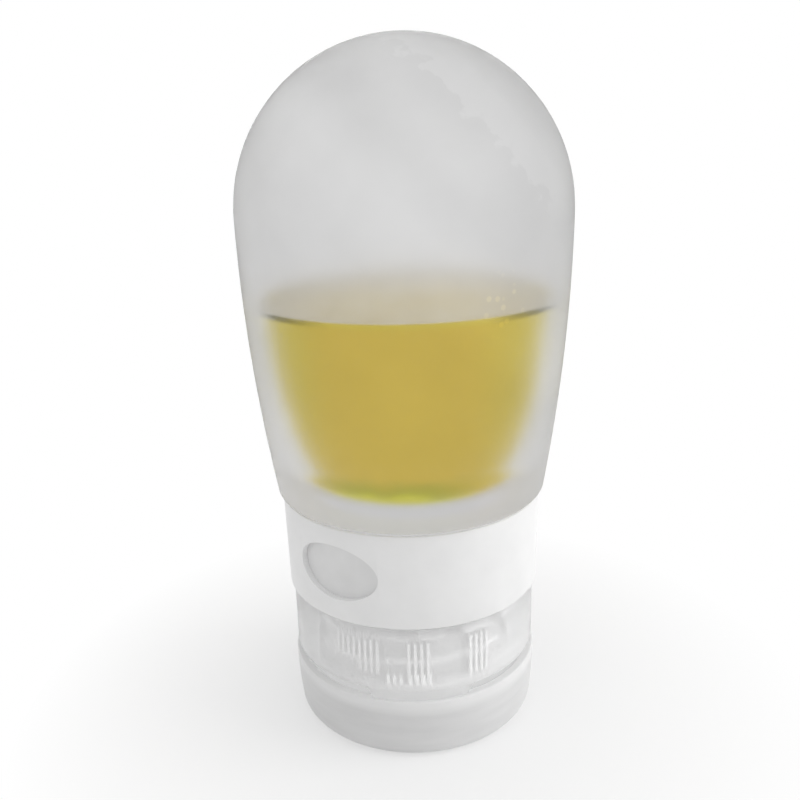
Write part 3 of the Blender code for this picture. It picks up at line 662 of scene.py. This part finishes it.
def make_soap(clear, surface, wet_edge):
    """The liquid, a thin gap in from the silicone, with a meniscus that climbs the wall."""
    gap, climb, meniscus_width, spread = 0.12, 0.8, 1.4, 0.02
    front_from, edge_width = 5.0, 0.4
    wall = cavity_profile(gap, LIQUID_LEVEL)
    rim = wall[-1][0] + spread
    wall.append((rim, LIQUID_LEVEL + climb))
    inwards = (1.0, 0.75, 0.5, 0.3, 0.15, 0.05)
    meniscus = [(rim - meniscus_width * t, LIQUID_LEVEL + climb * (1 - t) ** 2.5) for t in inwards]
    bottom = NECK_BOTTOM + 2.4
    fillet = BORE_FILLET
    opening = [
        *arc(NECK_BORE + fillet, CAVITY_FLOOR - fillet + gap, -fillet - gap, fillet, 90, 0, 5),
        (NECK_BORE - gap, bottom),
        (0, bottom),
    ]
    liquid = lathe("amber_soap", [(0, LIQUID_LEVEL)] + meniscus + wall[::-1] + opening, closed=False)
    smooth(liquid, 50)
    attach(liquid, "bottle")
    for material in (clear, surface, wet_edge):
        liquid.data.materials.append(material)
    for face in liquid.data.polygons:
        height = face.center.z / MM - LIQUID_LEVEL
        if face.normal.z > 0.2 and height > -0.5:
            in_front = face.center.y / MM < front_from
            at_wall = face.center.xy.length / MM > rim - edge_width
            face.material_index = 2 if in_front and at_wall else 1
        elif height > 0:
            face.material_index = 2
    return liquid


# Neck ring, label ring and dial


def make_neck_ring(material):
    """Rigid ring on the neck, with its thread and a flange with teeth below it."""
    lip, tooth_width, tooth_top = 1.4, 1.2, FLANGE_TOP - 1.2
    tooth_step, tooth_length, first_tooth = 22.5, 13.0, 1.7
    profile = [
        (RING_TOP_RADIUS, NECK_RING_TOP),
        (RING_TOP_RADIUS, NECK_RING_TOP - lip),
        (RING_RADIUS, NECK_RING_TOP - lip),
        (RING_RADIUS, FLANGE_TOP),
        (FLANGE_RADIUS, FLANGE_TOP),
        (FLANGE_RADIUS, tooth_top),
        (FLANGE_RADIUS - tooth_width, tooth_top),
        (RING_RADIUS, tooth_top),
        (RING_RADIUS, NECK_RING_BOTTOM),
        (RING_BORE, NECK_RING_BOTTOM),
        (RING_BORE, NECK_RING_TOP),
    ]
    ring = lathe("threaded_neck_ring", profile, RIBBED_SEGMENTS)

    def on_tooth(place, normal):
        under_rim = normal.z < -0.9 and abs(place.z - tooth_top) < SAME
        outer = place.xy.length > FLANGE_RADIUS - tooth_width
        return under_rim and outer and (direction(place) + 360 - first_tooth) % tooth_step < tooth_length

    bpy.ops.object.mode_set(mode="EDIT")
    select_faces(ring, on_tooth)
    drop = (FLANGE_BOTTOM - tooth_top) * MM
    bpy.ops.mesh.extrude_region_move(TRANSFORM_OT_translate={"value": (0, 0, drop)})
    bpy.ops.object.mode_set(mode="OBJECT")
    thread = helix("neck_thread", RING_RADIUS + 0.15, wire=0.6, start_z=NECK_RING_BOTTOM + 0.7, start_turn=200)
    combine(ring, thread, "UNION")
    return settle(smooth(ring), "bottle", "neck_ring", material, "neck_ring")


def make_label_ring(material):
    """Fixed ring behind the dial's window, left bare."""
    wall, flange = 1.4, 1.1
    profile = [
        (LABEL_RING_RADIUS, COLLAR_TOP),
        (LABEL_RING_RADIUS, COLLAR_BOTTOM + flange),
        (LABEL_RING_RADIUS - wall, COLLAR_BOTTOM + flange),
        (LABEL_RING_RADIUS - wall, COLLAR_TOP - flange),
        (RING_BORE, COLLAR_TOP - flange),
        (RING_BORE, COLLAR_TOP),
    ]
    ring = lathe("bare_label_ring", profile)
    return settle(smooth(ring), "bottle", "label_ring", material, "label_ring")


def make_collar(material):
    """Dial with its oval window, softened at the edges."""
    edge, seat = EDGE_ROUNDING, 0.8
    profile = [
        *arc(COLLAR_TOP_RADIUS - edge, COLLAR_TOP - edge, edge, edge, 90, 0, 4),
        *arc(COLLAR_RADIUS - edge, COLLAR_BOTTOM + edge, edge, edge, 0, -90, 4),
        (COLLAR_SEAT_BORE, COLLAR_BOTTOM),
        (COLLAR_SEAT_BORE, COLLAR_BOTTOM + seat),
        (COLLAR_BORE, COLLAR_BOTTOM + seat),
        (COLLAR_BORE, COLLAR_TOP),
    ]
    collar = lathe("label_dial", profile)
    window_turn, window_height, half_width, half_height = -35, COLLAR_BOTTOM + 8.2, 7.5, 4.6
    deselect()
    bpy.ops.mesh.primitive_cylinder_add(vertices=96, radius=MM, depth=20 * MM)
    window = just_added("window_cutter")
    window.matrix_world = (
        Matrix.Rotation(math.radians(window_turn), 4, "Z")
        @ Matrix.Translation((0, -COLLAR_RADIUS * MM, window_height * MM))
        @ Matrix.Rotation(math.pi / 2, 4, "X")
        @ Matrix.Diagonal((half_width, half_height, 1.0, 1.0))
    )
    put_place_in_mesh()
    combine(collar, window, "DIFFERENCE")
    soften = collar.modifiers.new("soft edges", "BEVEL")
    soften.width = 0.3 * MM
    soften.segments = 3
    soften.limit_method = "ANGLE"
    soften.angle_limit = math.radians(50)
    bpy.ops.object.modifier_apply(modifier=soften.name)
    return settle(smooth(collar), "dial", "label_collar", material, "label_collar")


# Cap


def rib_places():
    """Direction and lower end of each rib on the sleeve. Each place has a group of ribs, and every third
    has two groups side by side, which start higher."""
    found = []
    for place in range(RIB_PLACES):
        middle = RIB_STEP / 2 + 360 / RIB_PLACES * place
        groups = ((0, RIB_FOOT),)
        if place % 3 == 2:
            groups = ((-DOUBLE_OFFSET, HIGH_RIB_FOOT), (DOUBLE_OFFSET, MIDDLE_RIB_FOOT))
        for offset, foot in groups:
            for rib in range(RIBS_IN_GROUP):
                turn = middle + offset + RIB_STEP * (rib - (RIBS_IN_GROUP - 1) / 2)
                found.append(((turn + 180) % 360 - 180, foot))
    return found


def core_profile():
    """Outline of the cap's inside: down the sleeve, the register, the nozzle, up through it and its boss."""
    boss, seat, valve_bore = 8.5, 7.3, 5.0
    tip_bottom, tip, outlet, rounding = 5.6, 3.3, 1.8, 0.3
    hollow_bottom, hollow_height = 7.2, 4.6
    chamfer, register_wall, root = 0.2, 1.6, 0.5
    return [
        (SLEEVE_RADIUS, SLEEVE_TOP),
        (SLEEVE_RADIUS, SLEEVE_TOP - rounding),
        (SLEEVE_RADIUS, HIGH_RIB_FOOT),
        (SLEEVE_RADIUS, MIDDLE_RIB_FOOT),
        (SLEEVE_RADIUS, RIB_FOOT),
        (SLEEVE_RADIUS, DECK_TOP),
        (REGISTER_RADIUS - chamfer, DECK_TOP),
        (REGISTER_RADIUS, DECK_TOP - chamfer),
        (REGISTER_RADIUS, LID_RIM + rounding),
        (REGISTER_RADIUS, REGISTER_BOTTOM + rounding),
        (REGISTER_RADIUS - rounding, REGISTER_BOTTOM),
        (REGISTER_RADIUS - register_wall, REGISTER_BOTTOM),
        (REGISTER_RADIUS - register_wall, DECK_BOTTOM - root),
        (REGISTER_RADIUS - register_wall - root, DECK_BOTTOM),
        *arc(boss, tip_bottom, tip - boss, DECK_BOTTOM - tip_bottom, 90, 0, 16),
        *arc(tip - rounding, tip_bottom + rounding, rounding, rounding, 0, -90, 3)[1:],
        *arc(outlet + rounding, tip_bottom + rounding, -rounding, rounding, 270, 360, 3),
        *arc(valve_bore, hollow_bottom, outlet - valve_bore, hollow_height, 0, 90, 12),
        (valve_bore, DECK_TOP),
        (seat, DECK_TOP),
        (seat, BOSS_TOP),
        (boss, BOSS_TOP),
        (boss, DECK_TOP),
        (SLEEVE_BORE, DECK_TOP),
        (SLEEVE_BORE, SLEEVE_TOP),
    ]


def make_core(material, thin_material, shaded_material):
    """The cap's inside: ribbed sleeve with the thread, deck, nozzle, and the hinge's ears at the back."""
    core = lathe("cap_core_and_nozzle", core_profile(), RIBBED_SEGMENTS, turn=180 / RIBBED_SEGMENTS)
    ribs = rib_places()

    def on_rib(place, normal):
        if place.z > SLEEVE_TOP - 0.3 or abs(place.xy.length - SLEEVE_RADIUS) > 0.1:
            return False
        turn = direction(place)
        return any(abs(turn - rib) < RIB_REACH and place.z > foot for rib, foot in ribs)

    bpy.ops.object.mode_set(mode="EDIT")
    select_faces(core, on_rib)
    bpy.ops.mesh.extrude_region_shrink_fatten(TRANSFORM_OT_shrink_fatten={"value": RIB_HEIGHT * MM})
    bpy.ops.object.mode_set(mode="OBJECT")
    room_front, root_front = 18.5, 17.7
    low_corner = (-EAR_START, room_front, REGISTER_BOTTOM - 0.4)
    combine(core, box("knuckle_room", low_corner, (EAR_START, CUT_TO, SHELL_BOTTOM)), "DIFFERENCE")
    for low_x, high_x in ((-EAR_END, -EAR_START), (EAR_START, EAR_END)):
        low_corner = (low_x, root_front, HINGE_Z - KNUCKLE_RADIUS)
        combine(core, box("ear_root", low_corner, (high_x, HINGE_Y, HINGE_Z + KNUCKLE_RADIUS)), "UNION")
        combine(core, barrel("ear", KNUCKLE_RADIUS, low_x, high_x), "UNION")
    combine(core, barrel("pin_bores", PIN_BORE, -EAR_END - 0.4, EAR_END + 0.4), "DIFFERENCE")
    thread = helix("cap_thread", SLEEVE_BORE - 0.1, wire=0.55, start_z=NECK_RING_BOTTOM + 0.5, start_turn=20)
    combine(core, thread, "UNION")
    settle(smooth(core), "cap", "cap_core", material, "cap_core")
    core.data.materials.append(thin_material)
    core.data.materials.append(shaded_material)
    for face in core.data.polygons:
        radius = face.center.xy.length / MM
        if face.center.z / MM < DECK_TOP + SAME and radius > SLEEVE_RADIUS:
            face.material_index = 2
        elif radius > SLEEVE_RADIUS + 0.9 * RIB_HEIGHT:
            face.material_index = 1
    return core


def make_shell(material, rim_material, thin_material):
    """The clear skirt round the sleeve, with its finger tongue in front and fine ribs behind the tongue."""
    edge, seat, seat_corner, rib_height = EDGE_ROUNDING, 0.8, SHELL_BORE + 0.15, 0.2
    profile = [
        *arc(SHELL_RADIUS - edge, FLANGE_TOP - edge, edge, edge, 90, 0, 3),
        *arc(SHELL_RADIUS - edge, SHELL_BOTTOM + edge, edge, edge, 0, -90, 3),
        (seat_corner, SHELL_BOTTOM),
        (SHELL_SEAT_BORE, SHELL_BOTTOM),
        (SHELL_SEAT_BORE, SHELL_BOTTOM + seat),
        (SHELL_BORE, SHELL_BOTTOM + seat),
        (SHELL_BORE, TONGUE_RIB_TOP),
        (SHELL_BORE, FLANGE_TOP),
    ]
    shell = lathe("frosted_cap_shell", profile, RIBBED_SEGMENTS)
    middle, half_width, narrowing = 2.0, 25.2, 0.865
    drop = SHELL_BOTTOM - LID_RIM - 0.05

    def over_tongue(place, normal):
        under = normal.z < -0.9 and place.xy.length > seat_corner
        return under and abs(direction(place) - middle) < half_width

    bpy.ops.object.mode_set(mode="EDIT")
    select_faces(shell, over_tongue)
    bpy.ops.mesh.extrude_region_move(TRANSFORM_OT_translate={"value": (0, 0, -drop * MM)})
    mesh = bmesh.from_edit_mesh(shell.data)
    for vertex in mesh.verts:
        if vertex.select:
            slant = (direction(vertex.co) - middle) * (narrowing - 1)
            vertex.co.rotate(Matrix.Rotation(math.radians(slant), 3, "Z"))
    bmesh.update_edit_mesh(shell.data)

    def behind_tongue(place, normal):
        inward = normal.xy.dot(place.xy) < -0.9 * place.xy.length
        low = inward and place.z < TONGUE_RIB_TOP and place.xy.length > SHELL_BORE - 0.1
        turn = direction(place) - 180 / RIBBED_SEGMENTS
        return low and any(abs(turn - rib) < RIB_REACH for rib in TONGUE_RIBS)

    select_faces(shell, behind_tongue)
    bpy.ops.mesh.extrude_region_shrink_fatten(TRANSFORM_OT_shrink_fatten={"value": rib_height * MM})
    bpy.ops.object.mode_set(mode="OBJECT")
    room = box("hinge_room", (-HINGE_ROOM, CUT_FROM, SHELL_BOTTOM - 0.4), (HINGE_ROOM, CUT_TO, 14))
    combine(shell, room, "DIFFERENCE")
    settle(smooth(shell), "cap", "cap_shell", material, "cap_shell")
    shell.visible_shadow = False  # clear: the lamps' light reaches the core behind it
    shell.data.materials.append(rim_material)
    shell.data.materials.append(thin_material)
    for face in shell.data.polygons:
        height = face.center.z / MM
        inside = SHELL_BORE - face.center.xy.length / MM
        level = abs(face.normal.z) > 0.7
        if rib_height / 2 < inside < 2 * rib_height and height < TONGUE_RIB_TOP:
            face.material_index = 2
        elif (inside > 2 * rib_height or level) and height < SHELL_BOTTOM + seat + 0.1:
            face.material_index = 1
    return shell


def make_lid(material):
    """The bowl-shaped lid that is the foot, with the nozzle's plug inside and the hinge's knuckle and pins."""
    rounding, rim_chamfer, foot_rounding = 0.3, 0.2, 2.0
    draft, side_top, steps = 0.5, LID_RIM - 0.45, 10
    plug_radius, plug_top, floor_inside, corner = 1.5, 7.1, 1.6, 1.3
    foot = LID_RADIUS - draft - foot_rounding
    shares = [step / steps for step in range(steps + 1)]
    side = [(LID_RADIUS - draft * s**2, side_top + (foot_rounding - side_top) * s) for s in shares]
    profile = [
        (0, plug_top),
        (0.7, plug_top),
        (1.0, plug_top - 0.3),
        (plug_radius, plug_top - 1.5),
        (plug_radius, floor_inside + rounding),
        (plug_radius + rounding, floor_inside),
        *arc(17.8, floor_inside + corner, corner, corner, -90, 0, 8),
        (LID_BORE, 8.6),
        (LID_BORE, LID_RIM - rim_chamfer),
        (LID_BORE + rim_chamfer, LID_RIM),
        *arc(LID_RADIUS - rounding, LID_RIM - rounding, rounding, rounding, 90, 0, 5),
        *side[1:],
        *arc(foot, foot_rounding, foot_rounding, foot_rounding, 0, -90, 12)[1:],
        (0, 0),
    ]
    lid = lathe("flip_lid_bowl", profile, closed=False)
    room_bottom, arm_front, arm_back, arm_bottom = 9.0, 19.3, 20.85, 7.6
    room = box("ear_room", (-EAR_ROOM, CUT_FROM, room_bottom), (EAR_ROOM, CUT_TO, HINGE_Z))
    combine(lid, room, "DIFFERENCE")
    arm = box("knuckle_arm", (-KNUCKLE_END, arm_front, arm_bottom), (KNUCKLE_END, arm_back, HINGE_Z))
    combine(lid, arm, "UNION")
    combine(lid, barrel("knuckle", KNUCKLE_RADIUS, -KNUCKLE_END, KNUCKLE_END), "UNION")
    combine(lid, barrel("pins", PIN_RADIUS, -PIN_END, PIN_END), "UNION")
    return settle(smooth(lid), "lid", "flip_lid", material, "flip_lid")


def dress_cad_node(node, material):
    """A small hidden CAD node keeps its own mesh, welded and smooth between its sharp edges."""
    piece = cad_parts[node]
    piece.data.materials.clear()
    piece.data.materials.append(material)
    for face in piece.data.polygons:
        face.use_smooth = True
    weld = piece.modifiers.new("weld", "WELD")
    weld.merge_threshold = 1e-6
    split = piece.modifiers.new("sharp edges", "EDGE_SPLIT")
    split.split_angle = math.radians(32)


# Stage


def seen_directly(material):
    """1 where the camera sees it straight, in a gloss or through a clear piece, 0 where it lights others."""
    rays = add(material, "ShaderNodeLightPath").outputs
    seen = {0: rays["Is Camera Ray"], 1: rays["Is Glossy Ray"]}
    seen = add(material, "ShaderNodeMath", seen, operation="MAXIMUM")
    return add(material, "ShaderNodeMath", {0: seen, 1: rays["Is Transmission Ray"]}, operation="MAXIMUM")


def make_floor():
    """Takes the bottle's soft shadow near it, and is plain white further out."""
    deselect()
    bpy.ops.mesh.primitive_circle_add(vertices=96, radius=2.0, fill_type="NGON", location=(0, 0, -0.0001))
    floor = just_added("floor")
    put_place_in_mesh()
    material, shader, place = new_material("white studio floor")
    set_inputs(shader, {"Base Color": linear("#f6f6f6"), "Roughness": 0.9})
    distance = add(material, "ShaderNodeVectorMath", {0: place}, operation="LENGTH").outputs["Value"]
    far = {"Value": distance, **rise(20, 70), "To Min": 0.5}
    far = add(material, "ShaderNodeMapRange", far)
    share = add(material, "ShaderNodeMath", {0: seen_directly(material), 1: far}, operation="MULTIPLY")
    glow = add(material, "ShaderNodeEmission", {"Color": WHITE, "Strength": 1.0})
    mix = add(material, "ShaderNodeMixShader", {0: share, 1: shader, 2: glow})
    set_inputs(material.node_tree.nodes["Material Output"], {"Surface": mix})
    floor.data.materials.append(material)


def make_light():
    """A white world, dimmer as a light than to look at, a softbox on the right and a weak fill on the left."""
    aimed_at = Vector((0, 0, 0.06))
    world = bpy.data.worlds.new("studio")
    bpy.context.scene.world = world
    world.use_nodes = True
    level = {"Value": seen_directly(world), "To Min": 0.56, "To Max": 1.0}
    level = add(world, "ShaderNodeMapRange", level)
    set_inputs(world.node_tree.nodes["Background"], {"Color": WHITE, "Strength": level})
    for name, place, size, power in (
        ("right softbox", (0.46, -0.09, 0.24), 0.35, 1.3),
        ("left fill", (-0.35, -0.35, 0.30), 0.40, 0.3),
    ):
        lamp = bpy.data.lights.new(name, "AREA")
        lamp.shape = "SQUARE"
        lamp.size = size
        lamp.energy = power
        holder = bpy.data.objects.new(name, lamp)
        bpy.context.scene.collection.objects.link(holder)
        holder.visible_glossy = False
        holder.visible_transmission = False
        holder.location = place
        aim = aimed_at - Vector(place)
        holder.rotation_euler = aim.to_track_quat("-Z", "Y").to_euler()


def make_camera():
    """The photo's viewpoint: close, a little above, looking down 17 degrees."""
    pitch, yaw, roll = 0.2931, -0.0104, -0.0287
    forward = Vector((math.sin(yaw) * math.cos(pitch), math.cos(yaw) * math.cos(pitch), -math.sin(pitch)))
    right = forward.cross(Vector((0, 0, 1))).normalized()
    up = right.cross(forward)
    turned_right = math.cos(roll) * right + math.sin(roll) * up
    turned_up = -math.sin(roll) * right + math.cos(roll) * up
    camera = bpy.data.objects.new("camera", bpy.data.cameras.new("camera"))
    bpy.context.scene.collection.objects.link(camera)
    camera.data.lens = 39.665
    camera.data.sensor_width = 36.0
    camera.data.clip_start = 0.005
    camera.data.clip_end = 20.0
    place = Matrix((turned_right, turned_up, -forward)).transposed().to_4x4()
    place.translation = (0, -0.14017, 0.09661)
    camera.matrix_world = place
    bpy.context.scene.camera = camera


core_plastic = natural_plastic()
rib_plastic = thin_plastic()
dial_plastic = white_plastic("white polypropylene", "#e3e3e3", "#e8e8e8", glow=0.08)
# The dial's plastic with painted shade: darker and with less glow, for the ring seen deep in the window
shaded_ring_plastic = white_plastic("white polypropylene, shaded in the window", "#dedede", "#e6e6e6", glow=0.02)
shell_plastic = clear_plastic(
    "frosted polypropylene", "#f6f6f6", "#ffffff", roughness=0.28, transmission=0.8, ior=1.3
)
shell_rim_plastic = clear_plastic(
    "frosted polypropylene edge", "#e2e2e2", "#eeeeee", roughness=0.4, transmission=0.2, glow=0.1
)
lid_plastic = clear_plastic(
    "frosted lid polypropylene", "#e4e4e4", "#fafafa", roughness=0.35, transmission=0.2
)
valve_rubber = clear_plastic("clear valve silicone", "#d8d8d4", "#f0f0ee", roughness=0.4, transmission=0.5)

make_body(frosted_silicone(), polished_silicone(), milky_silicone())
make_soap(soap(), soap_surface(), soap_at_the_wall())
make_neck_ring(core_plastic)
make_label_ring(shaded_ring_plastic)
make_collar(dial_plastic)
make_core(core_plastic, rib_plastic, shaded_plastic())
make_shell(shell_plastic, shell_rim_plastic, rib_plastic)
make_lid(pale_above(lid_plastic, LID_RIM))
dress_cad_node("seal_washer", valve_rubber)
dress_cad_node("drip_valve", valve_rubber)
dress_cad_node("valve_retainer", shaded_ring_plastic)

make_floor()
make_light()
make_camera()
bpy.context.scene.view_settings.view_transform = "Standard"
